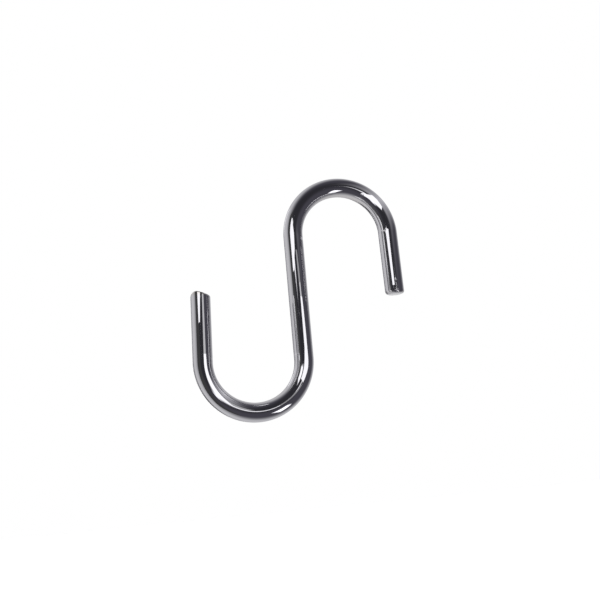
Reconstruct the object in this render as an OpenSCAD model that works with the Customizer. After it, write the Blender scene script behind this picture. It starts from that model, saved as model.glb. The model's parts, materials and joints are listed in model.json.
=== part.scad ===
// S-shaped meat hook, bent from one length of round bar.
// The hook lies in the XZ plane and its shank runs along Z. The origin is the centre
// of the upper bow, and the rail that the hook hangs on passes through it along Y.

/* [Bar] */
// Diameter of the round bar that the hook is bent from
bar_d = 6; // [4:0.5:8]

/* [Upper bow] */
// Inside diameter of the upper bow, which sits over the rail
upper_bow_d = 25; // [16:1:50]
// Angle that the bar turns through in the upper bow
upper_sweep = 179; // [160:1:195]
// Straight length of the upper leg, down to its end face
upper_leg = 20; // [10:0.5:40]

/* [Shank] */
// Straight length of the shank between the two bows
shank_len = 38; // [20:1:120]

/* [Lower bow] */
// Inside diameter of the lower bow, which carries the meat
lower_bow_d = 25; // [16:1:50]
// Angle that the bar turns through in the lower bow
lower_sweep = 182; // [160:1:195]
// Straight length of the lower leg, up to its sheared face on the bar's axis
lower_leg = 21.5; // [10:0.5:40]

/* [Cut ends] */
// Radius round the edge of the upper leg's end face
upper_edge_r = 1; // [0.2:0.1:1.8]
// Slope of the lower leg's sheared face, which falls towards the shank
shear_slope = 17; // [0:1:18]
// Radius that the shear rolls over on the outer side of the lower leg's end
roll_over_r = 2.6; // [0.5:0.1:3]

/* [Hidden] */
$fn = 64;
bar_r = bar_d / 2;
// Bending swells the bar by a hair, so the straight lengths run into the bows in a clean step
bend_swell = 0.01;
// How far each straight length runs into its bow
joint_depth = 0.3;
// Radius of each bow's centreline
upper_bend_r = (upper_bow_d + bar_d) / 2;
lower_bend_r = (lower_bow_d + bar_d) / 2;
// The roll-over leaves part of the sheared face flat on a thin bar
roll_r = min(roll_over_r, 0.45 * bar_d);
// How far the roll-over's arc runs past the wall and the sheared face, to meet both in clean edges
roll_lead = 0.06 * roll_r;
// How far the cutting shapes reach past the bar
spare = 1;

// A curved length of bar about the Z axis, from the X axis round to the sweep angle
module bow(bend_r, sweep) {
    rotate_extrude(angle = sweep)
        translate([bend_r, 0])
            circle(r = bar_r + bend_swell);
}

// A straight length of bar up Z, with a flat end face and a rounded edge
module rounded_leg(length, edge_r) {
    rotate_extrude()
        difference() {
            translate([0, -joint_depth])
                square([bar_r, length + joint_depth]);
            translate([bar_r - edge_r, length - edge_r])
                difference() {
                    square(edge_r + spare);
                    circle(r = edge_r);
                }
        }
}

// A straight length of bar up Z with a sheared end, rolled over on the +X side
module sheared_leg(length) {
    roll_x = bar_r + roll_lead - roll_r;
    roll_z = length + roll_x * tan(shear_slope) - (roll_r - roll_lead) / cos(shear_slope);
    difference() {
        translate([0, 0, -joint_depth])
            cylinder(r = bar_r, h = length + bar_d);
        translate([0, 0, length])
            rotate([0, -shear_slope, 0])
                translate([-bar_d, -bar_d, 0])
                    cube(2 * bar_d);
        translate([roll_x, 0, roll_z])
            rotate([90, 0, 0])
                linear_extrude(bar_d + 2 * spare, center = true)
                    difference() {
                        square(bar_d);
                        circle(r = roll_r);
                    }
    }
}

// The straight length between the bows, from the lower bow's end up to the upper one's
module shank() {
    translate([-upper_bend_r, 0, -shank_len - joint_depth])
        cylinder(r = bar_r, h = shank_len + 2 * joint_depth);
}

// The whole hook: upper leg, upper bow, shank, lower bow and lower leg in one bar
module hook() {
    color("silver") {
        shank();
        rotate([90, 0, 0]) {
            rotate([0, 0, 180 - upper_sweep]) {
                bow(upper_bend_r, upper_sweep);
                translate([upper_bend_r, 0, 0])
                    rotate([90, 0, 0])
                        rounded_leg(upper_leg, upper_edge_r);
            }
            translate([-upper_bend_r - lower_bend_r, -shank_len, 0])
                rotate([0, 0, -lower_sweep]) {
                    bow(lower_bend_r, lower_sweep);
                    translate([lower_bend_r, 0, 0])
                        rotate([90, 0, 0])
                            sheared_leg(lower_leg);
                }
        }
    }
}

hook();
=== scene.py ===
import json
import math

import bpy
from mathutils import Matrix, Vector, noise


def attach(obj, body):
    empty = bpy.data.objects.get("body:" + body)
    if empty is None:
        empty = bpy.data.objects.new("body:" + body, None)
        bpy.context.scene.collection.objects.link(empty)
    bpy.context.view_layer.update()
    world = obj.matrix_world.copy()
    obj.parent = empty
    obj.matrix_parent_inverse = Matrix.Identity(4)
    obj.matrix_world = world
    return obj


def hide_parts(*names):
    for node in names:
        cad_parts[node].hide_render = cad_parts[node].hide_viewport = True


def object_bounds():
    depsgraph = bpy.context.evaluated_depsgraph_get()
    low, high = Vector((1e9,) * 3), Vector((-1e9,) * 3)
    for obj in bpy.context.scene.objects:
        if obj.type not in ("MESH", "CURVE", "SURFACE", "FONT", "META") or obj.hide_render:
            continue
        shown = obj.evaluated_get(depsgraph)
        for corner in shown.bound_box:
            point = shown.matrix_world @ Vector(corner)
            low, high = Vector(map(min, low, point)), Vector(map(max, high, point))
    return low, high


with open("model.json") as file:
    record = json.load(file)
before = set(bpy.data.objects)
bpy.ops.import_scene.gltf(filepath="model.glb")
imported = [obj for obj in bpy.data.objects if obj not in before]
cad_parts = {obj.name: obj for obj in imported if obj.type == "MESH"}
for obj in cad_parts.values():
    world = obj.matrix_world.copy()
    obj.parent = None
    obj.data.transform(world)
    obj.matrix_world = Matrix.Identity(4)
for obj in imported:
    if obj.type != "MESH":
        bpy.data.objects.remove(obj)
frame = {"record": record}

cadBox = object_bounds()
boxMiddle = (cadBox[0] + cadBox[1]) / 2
mounts = {mount["name"]: mount for mount in frame["record"]["mounts"]}
mm = 0.001


def smooth(edge0, edge1, value):
    t = min(max((value - edge0) / (edge1 - edge0), 0.0), 1.0)
    return t * t * (3 - 2 * t)


# azimuth goes round from the front towards +X, and both angles are in degrees
def direction(azimuth, elevation):
    a = math.radians(azimuth)
    e = math.radians(elevation)
    return Vector((math.sin(a) * math.cos(e), -math.cos(a) * math.cos(e), math.sin(e)))


camera = {
    "lens": 59.9,  # mm
    "sensor": 36,  # mm wide
    "distance": 307.7 * mm,
    "azimuth": -13.9,  # a little to the left of the front
    "elevation": -9.7,  # a little below the hook, looking up
    "roll": 5.1,
    "aim": Vector((0.26, 0, -1.02)) * mm,  # from the middle of the hook's box
    "nearest": 5 * mm,
    "farthest": 30,  # m
}


def makeCamera():
    data = bpy.data.cameras.new("camera")
    data.lens = camera["lens"]
    data.sensor_width = camera["sensor"]
    data.clip_start = camera["nearest"]
    data.clip_end = camera["farthest"]
    made = bpy.data.objects.new("camera", data)
    bpy.context.scene.collection.objects.link(made)
    back = direction(camera["azimuth"], camera["elevation"])
    aim = boxMiddle + camera["aim"]
    turned = back.to_track_quat("Z", "Y").to_matrix().to_4x4()
    roll = Matrix.Rotation(math.radians(-camera["roll"]), 4, "Z")
    made.matrix_world = Matrix.Translation(aim + back * camera["distance"]) @ turned @ roll
    bpy.context.scene.camera = made
    print("camera:", camera["lens"], "mm lens,", round(camera["distance"] / mm), "mm from the hook")


hook = {
    "around": 120,  # points round the bar
    "step": 0.4 * mm,  # rings along the bar
    "fineStep": 0.08 * mm,  # rings across a mark
    "capRings": 26,
    "blendRings": 10,  # steps from a cut end's edge to the even rings of the bar
    "blendGrowth": 1.4,  # the steps grow away from the edge
    "lowerEven": 5 * mm,  # the even rings begin this far from the lower tip
    "upperEven": 3.5 * mm,  # and stop this far from the upper tip
    "bendOval": 0.03 * mm,  # how much a bend flattens the bar
    "easeBefore": 2 * mm,  # the flattening begins this far outside a bend
    "easeWithin": 4 * mm,  # and is whole this far inside it
    "ripple": 0.008 * mm,  # slow unevenness left by polishing
    "rippleLength": 7 * mm,
    "buckle": 0.006 * mm,  # closer waves where the bar was bent
    "buckleLength": 3.6 * mm,
    # the sheared end of the lower leg
    "lowerBack": 0.85 * mm,  # the axis ends this much short of the length in the record
    "shear": math.tan(math.radians(17)),
    "rollFrom": -1.1 * mm,  # where the shear's rolled-over shoulder begins
    "rollAcross": 1.9 * mm,
    "rollDown": 2.1 * mm,
    "lowerRim": 0.35 * mm,
    "tornFrom": -0.4 * mm,  # the side of the shear towards the shank is torn and rougher
    "tornTo": 1.5 * mm,
    "tornHeight": 0.03 * mm,
    "tornGrain": (900, 2600),  # waves in a metre
    # the cropped end of the upper leg
    "upperForward": 1.0 * mm,  # the axis ends this much past the length in the record
    "upperRim": 0.95 * mm,
    "upperRimLean": 0.2 * mm,  # the inner edge is rounder than the outer one by twice this
    "upperDome": 0.2 * mm,
    "cropHeight": 0.02 * mm,
    "cropGrain": 1500,
    "faceShare": 0.93,  # the cut ends' own finish reaches this share of the radius
    # wear
    "rubWhole": 7 * mm,  # a seat is worn all over to this far from the middle of its bow
    "rubGone": 17 * mm,
    "rubInside": 0.75,  # only the inner side of the bow is worn, from this share of the radius
    "rimFrom": 0.75,  # the plate thins towards the rims, as shares of the radius
    "rimTo": 0.97,
    "rimDeep": 0.2 * mm,  # and near the tips
    "rimGone": 1.2 * mm,
}


def measureRoute():
    upper = Vector(mounts["rail_seat"]["pos_m"])
    lower = Vector(mounts["load_seat"]["pos_m"])
    upperEnd = mounts["upper_leg_end"]
    lowerEnd = mounts["lower_leg_end"]
    barRadius = upperEnd["dims"]["r_mm"] * mm
    bendRadius = mounts["rail_seat"]["dims"]["r_mm"] * mm + barRadius
    upperTurn = math.atan2(upperEnd["axis"][2], upperEnd["axis"][0])
    lowerTurn = math.atan2(-lowerEnd["axis"][2], -lowerEnd["axis"][0])
    upperFoot = upper + bendRadius * Vector((-math.sin(upperTurn), 0, math.cos(upperTurn)))
    lowerFoot = lower + bendRadius * Vector((math.sin(lowerTurn), 0, -math.cos(lowerTurn)))
    upperLeg = 2 * (Vector(upperEnd["pos_m"]) - upperFoot).length + hook["upperForward"]
    lowerLeg = 2 * (Vector(lowerEnd["pos_m"]) - lowerFoot).length - hook["lowerBack"]
    lengths = {
        "lowerLeg": lowerLeg,
        "lowerBow": bendRadius * (math.pi / 2 - lowerTurn),
        "shank": upper.z - lower.z,
        "upperBow": bendRadius * (math.pi / 2 - upperTurn),
        "upperLeg": upperLeg,
    }
    starts = {}
    total = 0.0
    for name, length in lengths.items():
        starts[name] = total
        total += length
    return {
        "barRadius": barRadius,
        "bendRadius": bendRadius,
        "upper": upper,
        "lower": lower,
        "upperTurn": upperTurn,
        "lowerTurn": lowerTurn,
        "upperFoot": upperFoot,
        "lowerFoot": lowerFoot,
        "lengths": lengths,
        "starts": starts,
        "total": total,
    }


route = measureRoute()


# the centre line at a distance along the bar, and its heading in the XZ plane
def placeOnRoute(s):
    starts = route["starts"]
    bend = route["bendRadius"]
    if s < starts["lowerBow"]:
        turn = route["lowerTurn"]
        ahead = Vector((math.cos(turn), 0, math.sin(turn)))
        return route["lowerFoot"] + ahead * (s - starts["lowerBow"]), turn
    if s < starts["shank"]:
        turn = route["lowerTurn"] + (s - starts["lowerBow"]) / bend
        return route["lower"] + bend * Vector((math.sin(turn), 0, -math.cos(turn))), turn
    if s < starts["upperBow"]:
        x = route["upper"].x - bend
        return Vector((x, 0, route["lower"].z + s - starts["shank"])), math.pi / 2
    if s < starts["upperLeg"]:
        turn = math.pi / 2 - (s - starts["upperBow"]) / bend
        return route["upper"] + bend * Vector((-math.sin(turn), 0, math.cos(turn))), turn
    turn = route["upperTurn"]
    ahead = Vector((math.cos(turn), 0, math.sin(turn)))
    return route["upperFoot"] + ahead * (s - starts["upperLeg"]), turn


markSpan = 3  # a mark has faded out this many widths from its middle


# place along the bar, place and reach round it in degrees, depth and width, and how strongly a glint is
# painted on it
def barMark(at, side, reach, depth, wide, paintedGlintLevel):
    return {"at": at, "side": side, "reach": reach, "depth": depth * mm, "wide": wide * mm, "paintedGlintLevel": paintedGlintLevel}


# marks of the bending tools, and later knocks
def barMarks():
    starts = route["starts"]
    bendEnd = starts["upperLeg"]
    return [
        barMark(starts["upperBow"] - 1.0 * mm, -62, 36, 0.06, 0.34, 1.0),
        barMark(bendEnd - 0.4 * mm, -41, 18, 0.05, 0.34, 1.0),
        barMark(bendEnd - 15.5 * mm, -38, 34, 0.015, 0.5, 0.3),
        barMark(starts["shank"] + 1.1 * mm, 62, 26, 0.02, 0.25, 0.2),
        barMark(starts["lowerBow"] - 0.8 * mm, 60, 22, 0.02, 0.25, 0.2),
        barMark(bendEnd + 15.7 * mm, -3, 9, 0.03, 0.32, 0.9),
        barMark(bendEnd + 17.4 * mm, -2, 5, 0.01, 1.0, 0.35),
        barMark(bendEnd + 18.9 * mm, -1, 12, 0.04, 0.5, 1.0),
    ]


marks = barMarks()


def inMark(mark, s, angle):
    along = (s - mark["at"]) / mark["wide"]
    if abs(along) > markSpan:
        return 0.0
    off = abs(math.degrees(angle) - mark["side"]) / mark["reach"]
    return math.exp(-along * along) * (1 - smooth(0.4, 1.0, off))  # it thins out towards its ends


# 1 inside a bend and 0 on the straights
def inBend(s, bend, straightAfter):
    start = route["starts"][bend]
    end = route["starts"][straightAfter]
    begun = smooth(start - hook["easeBefore"], start + hook["easeWithin"], s)
    return begun * (1 - smooth(end - hook["easeWithin"], end + hook["easeBefore"], s))


def surfaceLift(s, angle):
    bent = max(inBend(s, "lowerBow", "shank"), inBend(s, "upperBow", "upperLeg"))
    lift = -hook["bendOval"] * bent * math.sin(angle) ** 2
    at = Vector((math.sin(angle), math.cos(angle), 0)) * route["barRadius"] + Vector((0, 0, s))
    lift += hook["ripple"] * noise.noise(at / hook["rippleLength"])
    other = Vector((7.3, 0, 0))  # another part of the noise, so that the two waves differ
    lift += hook["buckle"] * bent * noise.noise(at / hook["buckleLength"] + other)
    for mark in marks:
        lift -= mark["depth"] * inMark(mark, s, angle)
    return lift


# height of a cut face at a place on it; u goes across it in the plane of the hook, and on the sheared end
# it grows towards the shank
def lowerCut(u, v):
    height = -hook["shear"] * u
    if u < hook["rollFrom"]:
        t = min((hook["rollFrom"] - u) / hook["rollAcross"], 1.0)
        height -= hook["rollDown"] * (1 - math.sqrt(1 - t * t))
    torn = smooth(hook["tornFrom"], hook["tornTo"], u)
    grain = Vector((u * hook["tornGrain"][0], v * hook["tornGrain"][1], 0.3))
    height += hook["tornHeight"] * torn * noise.noise(grain)
    return height


def upperCut(u, v):
    far = (u * u + v * v) / route["barRadius"] ** 2
    height = -hook["upperDome"] * far
    height += hook["cropHeight"] * noise.noise(Vector((u * hook["cropGrain"], v * hook["cropGrain"], 4.1)))
    return height


# radius of the turned-over edge of a cut end, at an angle round the bar
def lowerRim(angle):
    return hook["lowerRim"]


def upperRim(angle):
    return hook["upperRim"] - hook["upperRimLean"] * math.sin(angle)


# how far a cut end stands beyond the end of the axis, at a place on its face
def capHeight(cut, rim, share, angle):
    radius = route["barRadius"]
    r = radius * share
    height = cut(r * math.sin(angle), r * math.cos(angle))
    edge = rim(angle)
    into = r - (radius - edge)
    if into > 0:
        t = min(into / edge, 1.0)
        height -= edge * (1 - math.sqrt(1 - t * t))
    return height


# the inside of each bow, where a rail or the load rests and slides; here and below, a place is across,
# forward and along the bar as if it were straight
def seatRub(place):
    rub = 0.0
    for bow, inner in (("lowerBow", place.x), ("upperBow", -place.x)):
        bowMiddle = route["starts"][bow] + route["lengths"][bow] / 2
        near = 1 - smooth(hook["rubWhole"], hook["rubGone"], abs(place.z - bowMiddle))
        rub = max(rub, smooth(hook["rubInside"], 1.0, inner / route["barRadius"]) * near)
    return rub


# the dented, rougher floor of a tool mark or knock is real; its near-white colour, brighter than the rest, is
# a painted glint
def markPaintedGlint(place):
    angle = math.atan2(place.x, place.y)
    return max(mark["paintedGlintLevel"] * inMark(mark, place.z, angle) for mark in marks)


# the plate is thin where the cut ends turn over
def rimWear(place):
    outward = place.xy.length / route["barRadius"]
    depth = min(place.z, route["total"] - place.z)
    atEnd = 1 - smooth(hook["rimDeep"], hook["rimGone"], depth)
    return smooth(hook["rimFrom"], hook["rimTo"], outward) * atEnd


def evenPlaces():
    last = route["total"] - hook["upperEven"]
    places = []
    s = hook["lowerEven"]
    while s < last:
        places.append(s)
        near = any(abs(s - mark["at"]) < markSpan * mark["wide"] for mark in marks)
        s += hook["fineStep"] if near else hook["step"]
    places.append(last)
    return places


# a ring is a list of spots: place along the bar, share of its radius, angle round it, lift of the surface
def capRing(end, sign, cut, rim, share, angles):
    return [(end + sign * capHeight(cut, rim, share, a), share, a, 0.0) for a in angles]


def blendRing(edge, even, step, angles):
    spots = []
    for a, start in zip(angles, edge):
        s = start + (even - start) * step ** hook["blendGrowth"]
        spots.append((s, 1.0, a, surfaceLift(s, a) * smooth(0, 1, step)))
    return spots


# from the middle of the lower face, over its edge, along the bar and over the upper edge to the middle
def barRings():
    around = hook["around"]
    caps = hook["capRings"]
    blend = hook["blendRings"]
    total = route["total"]
    angles = [-math.pi + math.tau * k / around for k in range(around)]
    shares = [math.sin(math.pi / 2 * k / caps) for k in range(1, caps + 1)]
    lowerCap = [capRing(0, -1, lowerCut, lowerRim, share, angles) for share in shares]
    upperCap = [capRing(total, 1, upperCut, upperRim, share, angles) for share in shares]
    lowerEdge = [spot[0] for spot in lowerCap[-1]]
    upperEdge = [spot[0] for spot in upperCap[-1]]
    even = evenPlaces()
    rings = [[(-lowerCut(0, 0), 0.0, 0.0, 0.0)]]
    rings += lowerCap
    rings += [blendRing(lowerEdge, even[0], k / blend, angles) for k in range(1, blend)]
    rings += [[(s, 1.0, a, surfaceLift(s, a)) for a in angles] for s in even]
    rings += [blendRing(upperEdge, even[-1], k / blend, angles) for k in range(blend - 1, 0, -1)]
    rings += upperCap[::-1]
    rings.append([(total + upperCut(0, 0), 0.0, 0.0, 0.0)])
    return rings


def barFaces(rings, last):
    around = hook["around"]
    faces = []
    for k in range(around):
        faces.append((0, 1 + k, 1 + (k + 1) % around))
    for ring in range(rings - 1):
        base = 1 + ring * around
        for k in range(around):
            n = (k + 1) % around
            faces.append((base + k, base + around + k, base + around + n, base + n))
    base = 1 + (rings - 1) * around
    for k in range(around):
        faces.append((base + k, last, base + (k + 1) % around))
    return faces


def keepOnPoints(mesh, name, values):
    kept = mesh.attributes.new(name, "FLOAT", "POINT")
    kept.data.foreach_set("value", values)


def buildHook():
    radius = route["barRadius"]
    front = Vector((0, -1, 0))
    points = []
    places = []
    rings = barRings()
    for ring in rings:
        for s, share, angle, lift in ring:
            centre, turn = placeOnRoute(s)
            left = Vector((-math.sin(turn), 0, math.cos(turn)))
            out = left * math.sin(angle) + front * math.cos(angle)
            points.append(centre + out * (radius * share + lift))
            places.append(Vector((radius * share * math.sin(angle), radius * share * math.cos(angle), s)))
    fullRings = len(rings) - 2  # all but the points in the middle of the two faces
    faces = barFaces(fullRings, len(points) - 1)

    mesh = bpy.data.meshes.new("hookBar")
    mesh.from_pydata(points, [], faces)
    mesh.validate()
    # faces on the cut ends take the second material
    for face in mesh.polygons:
        face.use_smooth = True
        away = sum(places[v].xy.length for v in face.vertices) / len(face.vertices)
        face.material_index = 1 if away < radius * hook["faceShare"] else 0
    # where each point lies on the straight bar, in millimetres, so that the finish follows the bend
    place = mesh.attributes.new("barPlace", "FLOAT_VECTOR", "POINT")
    place.data.foreach_set("vector", [c / mm for p in places for c in p])
    keepOnPoints(mesh, "seatRub", [seatRub(p) for p in places])
    keepOnPoints(mesh, "rimWear", [rimWear(p) for p in places])
    # where a glint is painted on the tool marks
    keepOnPoints(mesh, "markPaintedGlint", [markPaintedGlint(p) for p in places])
    made = bpy.data.objects.new("hookBar", mesh)
    bpy.context.scene.collection.objects.link(made)
    print("hook bar:", len(points), "points,", len(faces), "faces,", fullRings, "rings")
    return made


# finishes; lengths here are in millimetres, as barPlace is
chrome = {
    "colour": (0.485, 0.48, 0.505, 1),
    "edgeTint": (0.72, 0.715, 0.735, 1),
    "roughness": 0.045,
    "smudgeRoughness": 0.06,
    "smudgeSize": 6.0,
    "hairlineRoughness": 0.06,
    "hairlineDepth": 0.3,  # heights are in thousandths of a millimetre
    "alongLines": {"Scale": (7, 7, 0.22), "Width": 0.02, "Share": 0.55},  # left by polishing
    "acrossLines": {"Scale": (1.2, 1.2, 9), "Width": 0.03, "Share": 0.9},  # left by sliding on a rail
    "strayLines": {"Scale": (1.5, 2.5, 1.1), "Width": 0.006, "Share": 0.5},
    "rubRoughness": 0.12,
    "rubWorn": 0.5,  # how thin the plate is on the seats, of all it can be
    "peelSize": 0.9,  # the slow unevenness of the plate
    "peelHeight": 0.7,
    "pits": {"Spacing": 2.4, "Size": 0.05, "Share": 0.35},
    "pitDepth": 6.0,
    "pitColour": (0.2, 0.19, 0.2, 1),
    "worn": (0.47, 0.45, 0.44, 1),  # thin plate at the rims and the seats
    "mark": (0.95, 0.94, 0.96, 1),  # painted glint: the floor of a tool mark is coloured near white
    "markRoughness": 0.5,
}
cutEnd = {
    "colour": (0.46, 0.455, 0.475, 1),
    "dark": (0.2, 0.195, 0.21, 1),
    "roughness": 0.16,
    "grainRoughness": 0.22,
    "grainHeight": 22.0,
    "grainSize": 0.3,
    "grainStretch": (0.35, 1, 0.35),
    "grainDark": 0.35,
    "smudgeRoughness": 0.06,
    "smudgeSize": 2.5,
    "pits": {"Spacing": 0.7, "Size": 0.09, "Share": 0.5},
    "pitDepth": 8.0,
}


def newGroup(name, inputs, outputs):
    group = bpy.data.node_groups.new(name, "ShaderNodeTree")
    for label, kind, value in inputs:
        socket = group.interface.new_socket(name=label, in_out="INPUT", socket_type=kind)
        if value is not None:
            socket.default_value = value
    for label, kind in outputs:
        group.interface.new_socket(name=label, in_out="OUTPUT", socket_type=kind)
    return group


def addNode(tree, kind, settings=None, values=None, links=None):
    node = tree.nodes.new(kind)
    for key, value in (settings or {}).items():
        setattr(node, key, value)
    for key, value in (values or {}).items():
        node.inputs[key].default_value = value
    for key, source in (links or {}).items():
        tree.links.new(source, node.inputs[key])
    return node


def addMath(tree, operation, first, second=None, clamp=False):
    node = tree.nodes.new("ShaderNodeMath")
    node.operation = operation
    node.use_clamp = clamp
    for socket, value in zip(node.inputs, (first, second)):
        if value is None:
            continue
        if isinstance(value, (int, float)):
            socket.default_value = value
        else:
            tree.links.new(value, socket)
    return node.outputs[0]


def addRange(tree, value, low, high, toLow=0.0, toHigh=1.0):
    limits = {"From Min": low, "From Max": high, "To Min": toLow, "To Max": toHigh}
    node = addNode(tree, "ShaderNodeMapRange", {"interpolation_type": "SMOOTHSTEP"}, limits, {"Value": value})
    return node.outputs["Result"]


def addMix(tree, factor, first, second):
    node = addNode(tree, "ShaderNodeMix", {"data_type": "RGBA"})
    for key, value in (("Factor", factor), ("A", first), ("B", second)):
        if isinstance(value, tuple):
            node.inputs[key].default_value = value
        else:
            tree.links.new(value, node.inputs[key])
    return node.outputs["Result"]


# height in thousandths of a millimetre to a shader's normal
def addBump(tree, shader, height):
    bump = addNode(tree, "ShaderNodeBump", values={"Strength": 1.0, "Distance": 0.001 * mm})
    tree.links.new(height, bump.inputs["Height"])
    tree.links.new(bump.outputs[0], shader.inputs["Normal"])


# thin lines left by polishing or by sliding on a rail; Scale stretches them along or round the bar
def hairlineGroup():
    group = newGroup(
        "hairlines",
        [
            ("Place", "NodeSocketVector", None),
            ("Scale", "NodeSocketVector", (6, 6, 0.3)),
            ("Width", "NodeSocketFloat", 0.02),
            ("Share", "NodeSocketFloat", 0.4),
        ],
        [("Lines", "NodeSocketFloat")],
    )
    start = group.nodes.new("NodeGroupInput")
    end = group.nodes.new("NodeGroupOutput")
    stretched = addNode(group, "ShaderNodeVectorMath", {"operation": "MULTIPLY"})
    group.links.new(start.outputs["Place"], stretched.inputs[0])
    group.links.new(start.outputs["Scale"], stretched.inputs[1])
    grain = addNode(group, "ShaderNodeTexNoise", values={"Scale": 1.0, "Detail": 2.0, "Roughness": 0.6})
    group.links.new(stretched.outputs[0], grain.inputs["Vector"])
    off = addMath(group, "ABSOLUTE", addMath(group, "SUBTRACT", grain.outputs[0], 0.5))
    line = addMath(group, "SUBTRACT", 1.0, addMath(group, "DIVIDE", off, start.outputs["Width"]), clamp=True)
    patches = addNode(group, "ShaderNodeTexNoise", values={"Scale": 0.35, "Detail": 2.0})
    group.links.new(start.outputs["Place"], patches.inputs["Vector"])
    cut = addMath(group, "SUBTRACT", 0.75, addMath(group, "MULTIPLY", start.outputs["Share"], 0.5))
    where = addRange(group, addMath(group, "SUBTRACT", patches.outputs[0], cut), 0.0, 0.1)
    group.links.new(addMath(group, "MULTIPLY", line, where), end.inputs["Lines"])
    return group


# finger marks and dried cleaner: a soft uneven film
def smudgeGroup():
    group = newGroup(
        "smudges",
        [("Place", "NodeSocketVector", None), ("Size", "NodeSocketFloat", 5.0)],
        [("Smudge", "NodeSocketFloat"), ("Fine", "NodeSocketFloat")],
    )
    start = group.nodes.new("NodeGroupInput")
    end = group.nodes.new("NodeGroupOutput")
    scale = addMath(group, "DIVIDE", 1.0, start.outputs["Size"])
    wide = addNode(group, "ShaderNodeTexNoise", values={"Detail": 4.0, "Roughness": 0.55, "Distortion": 0.6})
    group.links.new(start.outputs["Place"], wide.inputs["Vector"])
    group.links.new(scale, wide.inputs["Scale"])
    fine = addNode(group, "ShaderNodeTexNoise", values={"Detail": 3.0, "Roughness": 0.6})
    group.links.new(start.outputs["Place"], fine.inputs["Vector"])
    group.links.new(addMath(group, "MULTIPLY", scale, 7.0), fine.inputs["Scale"])
    group.links.new(addRange(group, wide.outputs[0], 0.48, 0.68), end.inputs["Smudge"])
    group.links.new(addRange(group, fine.outputs[0], 0.4, 0.7), end.inputs["Fine"])
    return group


# pin-prick pits in the plate
def pitGroup():
    group = newGroup(
        "pits",
        [
            ("Place", "NodeSocketVector", None),
            ("Spacing", "NodeSocketFloat", 2.0),
            ("Size", "NodeSocketFloat", 0.06),
            ("Share", "NodeSocketFloat", 0.4),
        ],
        [("Pit", "NodeSocketFloat")],
    )
    start = group.nodes.new("NodeGroupInput")
    end = group.nodes.new("NodeGroupOutput")
    cells = addNode(group, "ShaderNodeTexVoronoi")
    group.links.new(start.outputs["Place"], cells.inputs["Vector"])
    group.links.new(addMath(group, "DIVIDE", 1.0, start.outputs["Spacing"]), cells.inputs["Scale"])
    reach = addMath(group, "MULTIPLY", cells.outputs["Distance"], start.outputs["Spacing"])
    off = addMath(group, "DIVIDE", reach, start.outputs["Size"])
    inside = addMath(group, "SUBTRACT", 1.0, off, clamp=True)
    split = addNode(group, "ShaderNodeSeparateColor", links={"Color": cells.outputs["Color"]})
    chosen = addMath(group, "LESS_THAN", split.outputs[0], start.outputs["Share"])
    group.links.new(addMath(group, "MULTIPLY", inside, chosen), end.inputs["Pit"])
    return group


groups = {"hairlines": hairlineGroup(), "smudges": smudgeGroup(), "pits": pitGroup()}


def addGroup(tree, name, place, values):
    return addNode(tree, "ShaderNodeGroup", {"node_tree": groups[name]}, values, {"Place": place})


def startMaterial(name):
    material = bpy.data.materials.new(name)
    material.use_nodes = True
    tree = material.node_tree
    shader = tree.nodes["Principled BSDF"]
    shader.inputs["Metallic"].default_value = 1.0
    place = addNode(tree, "ShaderNodeAttribute", {"attribute_name": "barPlace"}).outputs["Vector"]
    return material, tree, shader, place


def addMask(tree, name):
    return addNode(tree, "ShaderNodeAttribute", {"attribute_name": name}).outputs["Fac"]


def makeBrightChrome():
    material, tree, shader, place = startMaterial("brightChrome")
    shader.inputs["Specular Tint"].default_value = chrome["edgeTint"]
    rub = addMask(tree, "seatRub")
    rim = addMask(tree, "rimWear")
    # where a glint is painted on the tool marks
    paintedGlint = addMask(tree, "markPaintedGlint")
    along = addGroup(tree, "hairlines", place, chrome["alongLines"]).outputs["Lines"]
    across = addGroup(tree, "hairlines", place, chrome["acrossLines"]).outputs["Lines"]
    stray = addGroup(tree, "hairlines", place, chrome["strayLines"]).outputs["Lines"]
    smudges = addGroup(tree, "smudges", place, {"Size": chrome["smudgeSize"]})
    pit = addGroup(tree, "pits", place, chrome["pits"]).outputs["Pit"]
    lines = addMath(tree, "MAXIMUM", along, stray)
    lines = addMath(tree, "MAXIMUM", lines, addMath(tree, "MULTIPLY", across, rub))

    film = addMath(tree, "MULTIPLY", smudges.outputs["Smudge"], smudges.outputs["Fine"])
    roughness = chrome["roughness"]
    for mask, more in (
        (lines, chrome["hairlineRoughness"]),
        (film, chrome["smudgeRoughness"]),
        (rub, chrome["rubRoughness"]),
        (paintedGlint, chrome["markRoughness"]),
    ):
        roughness = addMath(tree, "ADD", roughness, addMath(tree, "MULTIPLY", mask, more))
    tree.links.new(roughness, shader.inputs["Roughness"])

    thin = addMath(tree, "MAXIMUM", rim, addMath(tree, "MULTIPLY", rub, chrome["rubWorn"]))
    colour = addMix(tree, thin, chrome["colour"], chrome["worn"])
    colour = addMix(tree, pit, colour, chrome["pitColour"])
    # painted glint: the tool marks are coloured near white
    colour = addMix(tree, paintedGlint, colour, chrome["mark"])
    tree.links.new(colour, shader.inputs["Base Color"])

    peel = addNode(tree, "ShaderNodeTexNoise", values={"Scale": 1 / chrome["peelSize"], "Detail": 1.0})
    tree.links.new(place, peel.inputs["Vector"])
    height = addMath(tree, "MULTIPLY", peel.outputs[0], chrome["peelHeight"])
    height = addMath(tree, "SUBTRACT", height, addMath(tree, "MULTIPLY", lines, chrome["hairlineDepth"]))
    height = addMath(tree, "SUBTRACT", height, addMath(tree, "MULTIPLY", pit, chrome["pitDepth"]))
    addBump(tree, shader, height)
    return material


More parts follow.
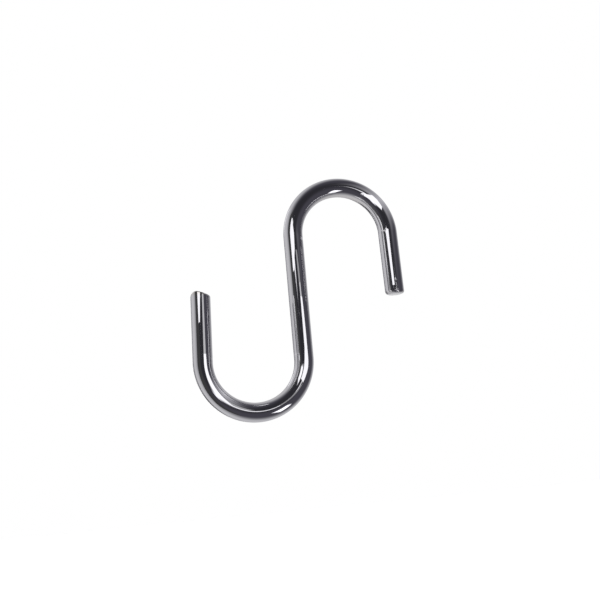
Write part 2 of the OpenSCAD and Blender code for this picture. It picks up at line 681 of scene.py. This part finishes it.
def makeCutEnd():
    material, tree, shader, place = startMaterial("cutEndChrome")
    scale = tuple(part / cutEnd["grainSize"] for part in cutEnd["grainStretch"])
    stretched = addNode(tree, "ShaderNodeVectorMath", {"operation": "MULTIPLY"}, {1: scale}, {0: place})
    grain = addNode(tree, "ShaderNodeTexNoise", values={"Scale": 1.0, "Detail": 4.0, "Roughness": 0.65})
    tree.links.new(stretched.outputs[0], grain.inputs["Vector"])
    smudges = addGroup(tree, "smudges", place, {"Size": cutEnd["smudgeSize"]})
    pit = addGroup(tree, "pits", place, cutEnd["pits"]).outputs["Pit"]
    torn = addRange(tree, grain.outputs[0], 0.45, 0.7)

    dark = addMath(tree, "MAXIMUM", addMath(tree, "MULTIPLY", torn, cutEnd["grainDark"]), pit)
    tree.links.new(addMix(tree, dark, cutEnd["colour"], cutEnd["dark"]), shader.inputs["Base Color"])
    tornRoughness = addMath(tree, "MULTIPLY", torn, cutEnd["grainRoughness"])
    film = addMath(tree, "MULTIPLY", smudges.outputs["Fine"], cutEnd["smudgeRoughness"])
    roughness = addMath(tree, "ADD", addMath(tree, "ADD", cutEnd["roughness"], tornRoughness), film)
    tree.links.new(roughness, shader.inputs["Roughness"])
    height = addMath(tree, "MULTIPLY", grain.outputs[0], cutEnd["grainHeight"])
    height = addMath(tree, "SUBTRACT", height, addMath(tree, "MULTIPLY", pit, cutEnd["pitDepth"]))
    addBump(tree, shader, height)
    return material


# the dark cloth in front of the hook, which the chrome shows as its dark parts
tent = {
    "towards": (20, 6),  # azimuth and elevation of its middle
    "radius": 1.6,
    "dark": (0.108, 0.104, 0.126, 1),
    "fadeFrom": 65,  # degrees from its middle where it begins to fade to white
    "fadeTo": 125,
    "spare": 3,  # degrees of cloth past the fade
    "deepTowards": (-12, 20),  # the cloth is darkest round here
    "deepDark": (0.048, 0.047, 0.055, 1),
    "deepFrom": 20,
    "deepTo": 58,
}
# a dark flag behind the hook, opposite the tent
backFlag = {
    "radius": 1.7,
    "dark": (0.1, 0.1, 0.11, 1),
    "fadeFrom": 20,
    "fadeTo": 32,
    "spare": 2,
}
floor = {
    "drop": 0.085,  # below the hook's lowest point
    "half": 1.5,
    "colour": (0.93, 0.93, 0.93, 1),
    "roughness": 0.9,
    "gloss": 0.1,
}
lamp = {
    "towards": (-20, 72),  # azimuth and elevation
    "strength": 1.9,
    "angle": 25,  # degrees across, so the shadow is soft
}
sky = {
    "onThings": 0.6,  # how strongly it lights the floor
    "seen": 1.0,  # and how bright it looks, by itself or in the chrome
}

# azimuth, elevation, distance, roll, half width and half height in degrees, brightness, softness
softboxes = {
    "lowBox": (40, -44, 0.27, -31, 12.5, 6.5, 2.6, 0.5),
    "sideBox": (-30, 19.5, 0.95, -13, 12, 7, 2.1, 0.5),
    "tubeLight": (0, -3, 1.0, 38, 19, 2.6, 2.0, 0.8),
    "paleWall": (72, 38, 1.0, 10, 46, 4.5, 1.1, 7),
    "backStripLeft": (-148, 12, 1.0, 84, 30, 2.5, 2.2, 0.7),
    "backStripRight": (-172, -4, 1.0, 80, 26, 1.5, 2.0, 0.6),
}

# glowing cards, and a dark flag on the left, held in front of the hook and parallel to it: distance forward,
# brightness, and corners across and up, in millimetres from the middle of the hook's box
cards = {
    "lowerTip": (13, 2.0, [(-41, 7), (-32, 6), (-36, -4.8), (-40, -4.6)]),
    "lowerTipFill": (13, 0.95, [(-28.5, 4), (-24.5, 4), (-24.5, -15), (-30, -15)]),
    "lowerBow": (13, 2.1, [
        (-30, -15), (-24, -15), (-21.5, -21), (-21.5, -30), (-24, -31), (-28.5, -29.5), (-30, -23),
    ]),
    "lowerBowEnd": (13, 0.7, [(-21.5, -25), (-18, -26.5), (-15, -30), (-18, -32), (-21.5, -30.5)]),
    "lowerBowFill": (13, 0.5, [(-8, -30.5), (0, -27), (3.5, -27.5), (0, -30), (-7, -33)]),
    "shank": (13, 2.0, [
        (-2.5, -20), (-4, -22.5), (3, -27), (8.5, -22), (8.5, -10),
        (7.2, -2), (6, 1.5), (1.8, 1.5), (1.5, -8), (0.8, -15),
    ]),
    "shankMiddle": (13, 1.1, [(1.8, 1.5), (5.2, 1.5), (4.8, 6), (1.4, 6)]),
    "shankFill": (13, 0.6, [(1, 6), (4.8, 6), (4.8, 10), (3, 16.5), (0, 16.5)]),
    "shankTop": (13, 2.0, [(-13, 10.5), (-8, 10.5), (-2, 17), (-0.5, 22), (-7, 31), (-10, 33), (-12.5, 24)]),
    "upperBow": (13, 2.1, [(21.5, 27), (24, 31), (30, 35.5), (34, 38.8), (36, 37), (35, 31.5), (30, 27.5)]),
    "upperTip": (8, 2.0, [(25.4, 21.2), (29.8, 21), (29.6, 2.8), (26.4, 2.8)]),
    "leftFlag": (110, 0.085, [(-105, -110), (-40, -260), (-350, -400), (-350, 320), (-105, 170)]),
}
square = ((-1, -1), (1, -1), (1, 1), (-1, 1))  # corners of a sheet, in half its width and height


# something that only reflections see; gives back the node tree of its own empty material
def addReflected(name, mesh, at=(0, 0, 0)):
    obj = bpy.data.objects.new(name, mesh)
    obj.location = at
    bpy.context.scene.collection.objects.link(obj)
    obj.visible_camera = False
    obj.visible_diffuse = False
    obj.visible_transmission = False
    obj.visible_volume_scatter = False
    obj.visible_shadow = False
    material = bpy.data.materials.new(name)
    material.use_nodes = True
    material.node_tree.nodes.clear()
    mesh.materials.append(material)
    return material.node_tree


def makeSoftbox(name, azimuth, elevation, distance, roll, halfWide, halfHigh, strength, soft):
    out = direction(azimuth, elevation)
    right = Vector((math.cos(math.radians(azimuth)), math.sin(math.radians(azimuth)), 0))
    up = out.cross(right)
    if up.z < 0:
        up = -up
    r = math.radians(roll)
    along = right * math.cos(r) + up * math.sin(r)
    across = -right * math.sin(r) + up * math.cos(r)
    degree = distance * math.radians(1)
    w = halfWide + 4 * soft  # room for the soft edge
    h = halfHigh + 4 * soft
    centre = boxMiddle + out * distance
    corners = [centre + along * w * degree * i + across * h * degree * j for i, j in square]
    mesh = bpy.data.meshes.new(name)
    mesh.from_pydata(corners, [], [(0, 1, 2, 3)])
    uv = mesh.uv_layers.new(name="degrees")
    for loop, (i, j) in zip(uv.data, square):
        loop.uv = (w * i, h * j)
    tree = addReflected(name, mesh)
    place = addNode(tree, "ShaderNodeUVMap", {"uv_map": "degrees"})
    split = addNode(tree, "ShaderNodeSeparateXYZ", links={0: place.outputs[0]})
    sides = []
    for axis, half in (("X", halfWide), ("Y", halfHigh)):
        away = addMath(tree, "ABSOLUTE", split.outputs[axis])
        sides.append(addRange(tree, away, half - 3 * soft, half + 3 * soft, 1, 0))
    level = addMath(tree, "MULTIPLY", addMath(tree, "MULTIPLY", *sides), strength)
    glow = addNode(tree, "ShaderNodeEmission", links={"Strength": level})
    clear = addNode(tree, "ShaderNodeBsdfTransparent")
    added = addNode(tree, "ShaderNodeAddShader", links={0: glow.outputs[0], 1: clear.outputs[0]})
    addNode(tree, "ShaderNodeOutputMaterial", links={"Surface": added.outputs[0]})


def makeCard(name, forward, strength, corners):
    points = [boxMiddle + Vector((x, -forward, z)) * mm for x, z in corners]
    mesh = bpy.data.meshes.new(name)
    mesh.from_pydata(points, [], [range(len(points))])
    tree = addReflected(name, mesh)
    glow = addNode(tree, "ShaderNodeEmission", values={"Strength": strength})
    addNode(tree, "ShaderNodeOutputMaterial", links={"Surface": glow.outputs[0]})


# part of a globe round the hook, from the middle of its axis out
def domeMesh(name, axis, radius, reach):
    side = axis.orthogonal().normalized()
    other = axis.cross(side)
    rings = 26
    around = 48
    points = [axis * radius]
    for i in range(1, rings + 1):
        t = math.radians(reach) * i / rings
        for k in range(around):
            p = math.tau * k / around
            out = axis * math.cos(t) + (side * math.cos(p) + other * math.sin(p)) * math.sin(t)
            points.append(out * radius)
    faces = [(0, 1 + k, 1 + (k + 1) % around) for k in range(around)]
    for i in range(rings - 1):
        b = 1 + i * around
        for k in range(around):
            n = (k + 1) % around
            faces.append((b + k, b + around + k, b + around + n, b + n))
    mesh = bpy.data.meshes.new(name)
    mesh.from_pydata(points, [], faces)
    return mesh


# 0 near a direction from the hook and 1 far from it, in degrees
def addFade(tree, centre, near, far):
    place = addNode(tree, "ShaderNodeTexCoord").outputs["Object"]
    outward = addNode(tree, "ShaderNodeVectorMath", {"operation": "NORMALIZE"}, links={0: place}).outputs[0]
    dot = addNode(tree, "ShaderNodeVectorMath", {"operation": "DOT_PRODUCT"}, {1: centre}, {0: outward})
    angle = addMath(tree, "ARCCOSINE", dot.outputs["Value"])
    return addRange(tree, angle, math.radians(near), math.radians(far))


def addDome(name, axis, values):
    mesh = domeMesh(name, axis, values["radius"], values["fadeTo"] + values["spare"])
    tree = addReflected(name, mesh, boxMiddle)
    return tree, addFade(tree, axis, values["fadeFrom"], values["fadeTo"])


def finishDome(tree, fade, cloth, beyond):
    mixed = addNode(tree, "ShaderNodeMixShader", links={0: fade, 1: cloth.outputs[0], 2: beyond.outputs[0]})
    addNode(tree, "ShaderNodeOutputMaterial", links={"Surface": mixed.outputs[0]})


def makeTent():
    tree, fade = addDome("darkTent", direction(*tent["towards"]), tent)
    deepFade = addFade(tree, direction(*tent["deepTowards"]), tent["deepFrom"], tent["deepTo"])
    shade = addMix(tree, deepFade, tent["deepDark"], tent["dark"])
    cloth = addNode(tree, "ShaderNodeEmission", links={"Color": shade})
    white = addNode(tree, "ShaderNodeEmission", values={"Color": (1, 1, 1, 1), "Strength": 1})
    finishDome(tree, fade, cloth, white)


def makeBackFlag():
    tree, fade = addDome("backFlag", -direction(*tent["towards"]), backFlag)
    cloth = addNode(tree, "ShaderNodeEmission", values={"Color": backFlag["dark"]})
    clear = addNode(tree, "ShaderNodeBsdfTransparent")
    finishDome(tree, fade, cloth, clear)


# a pale sheet under the hook that keeps the hook's shadow and runs off white
def makeFloor():
    half = floor["half"]
    height = cadBox[0].z - floor["drop"]
    points = [(boxMiddle.x + half * i, boxMiddle.y + half * j, height) for i, j in square]
    mesh = bpy.data.meshes.new("paleFloor")
    mesh.from_pydata(points, [], [(0, 1, 2, 3)])
    obj = bpy.data.objects.new("paleFloor", mesh)
    bpy.context.scene.collection.objects.link(obj)
    obj.visible_glossy = False
    material = bpy.data.materials.new("paleFloor")
    material.use_nodes = True
    shader = material.node_tree.nodes["Principled BSDF"]
    shader.inputs["Base Color"].default_value = floor["colour"]
    shader.inputs["Roughness"].default_value = floor["roughness"]
    shader.inputs["Specular IOR Level"].default_value = floor["gloss"]
    mesh.materials.append(material)


def makeLamp():
    data = bpy.data.lights.new("softLamp", "SUN")
    data.energy = lamp["strength"]
    data.angle = math.radians(lamp["angle"])
    made = bpy.data.objects.new("softLamp", data)
    out = direction(*lamp["towards"])
    turned = out.to_track_quat("Z", "Y").to_matrix().to_4x4()
    made.matrix_world = Matrix.Translation(boxMiddle + out) @ turned
    made.visible_glossy = False
    bpy.context.scene.collection.objects.link(made)


# white wherever it is seen, by itself or in the chrome
def makeWorld():
    world = bpy.data.worlds.new("studio")
    bpy.context.scene.world = world
    world.use_nodes = True
    tree = world.node_tree
    tree.nodes.clear()
    path = addNode(tree, "ShaderNodeLightPath")
    seen = addMath(tree, "MAXIMUM", path.outputs["Is Camera Ray"], path.outputs["Is Glossy Ray"])
    seen = addMath(tree, "MAXIMUM", seen, path.outputs["Is Transmission Ray"])
    level = addNode(tree, "ShaderNodeMapRange", links={"Value": seen})
    level.inputs["To Min"].default_value = sky["onThings"]
    level.inputs["To Max"].default_value = sky["seen"]
    white = addNode(tree, "ShaderNodeBackground", values={"Color": (1, 1, 1, 1)})
    tree.links.new(level.outputs[0], white.inputs["Strength"])
    addNode(tree, "ShaderNodeOutputWorld", links={"Surface": white.outputs[0]})


makeCamera()

hookBar = buildHook()
hookBar.data.materials.append(makeBrightChrome())
hookBar.data.materials.append(makeCutEnd())
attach(hookBar, "root")
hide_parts("hook")
print("finishes:", ", ".join(material.name for material in hookBar.data.materials))

makeWorld()
makeFloor()
makeLamp()
makeTent()
makeBackFlag()
for name, values in softboxes.items():
    makeSoftbox(name, *values)
for name, values in cards.items():
    makeCard(name + "Card", *values)
bpy.context.scene.view_settings.view_transform = "Standard"
print("studio:", len(softboxes), "softboxes and", len(cards), "cards")
